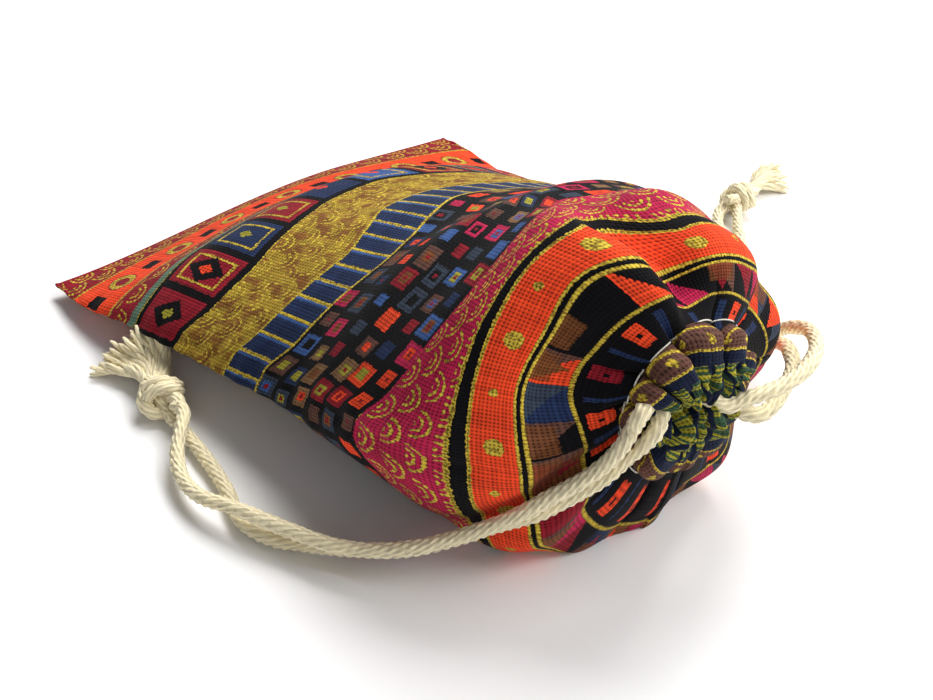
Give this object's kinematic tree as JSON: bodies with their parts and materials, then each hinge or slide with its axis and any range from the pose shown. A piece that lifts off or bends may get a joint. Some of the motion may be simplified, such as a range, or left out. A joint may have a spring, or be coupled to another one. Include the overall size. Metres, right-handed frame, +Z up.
{
  "type": "drawstring pouch",
  "caption": "Small filled kinchaku drawstring pouch of banded printed cotton, drawn shut, with two twisted cord loops ending in knots and frayed tassels.",
  "frame": {"origin": "middle of the pouch body's footprint, on the table plane it rests on", "axes": "+X from the flat bottom seam to the drawn mouth, +Z up out of the table, +Y to the right seen from the seam end's back"},
  "size_m": [0.1255, 0.1719, 0.0551],
  "materials": {
    "printed_cotton": "matte plain weave with printed bands",
    "cord_cotton": "matte twisted natural cotton",
    "frayed_cotton": "matte loose cotton yarns"
  },
  "bodies": {
    "root": {"pouch_body": "printed_cotton", "left_cord_strand_a": "cord_cotton", "left_cord_strand_b": "cord_cotton", "left_cord_knot": "cord_cotton", "left_cord_tassel": "frayed_cotton", "right_cord_strand_a": "cord_cotton", "right_cord_strand_b": "cord_cotton", "right_cord_knot": "cord_cotton", "right_cord_tassel": "frayed_cotton"}
  },
  "joints": []
}
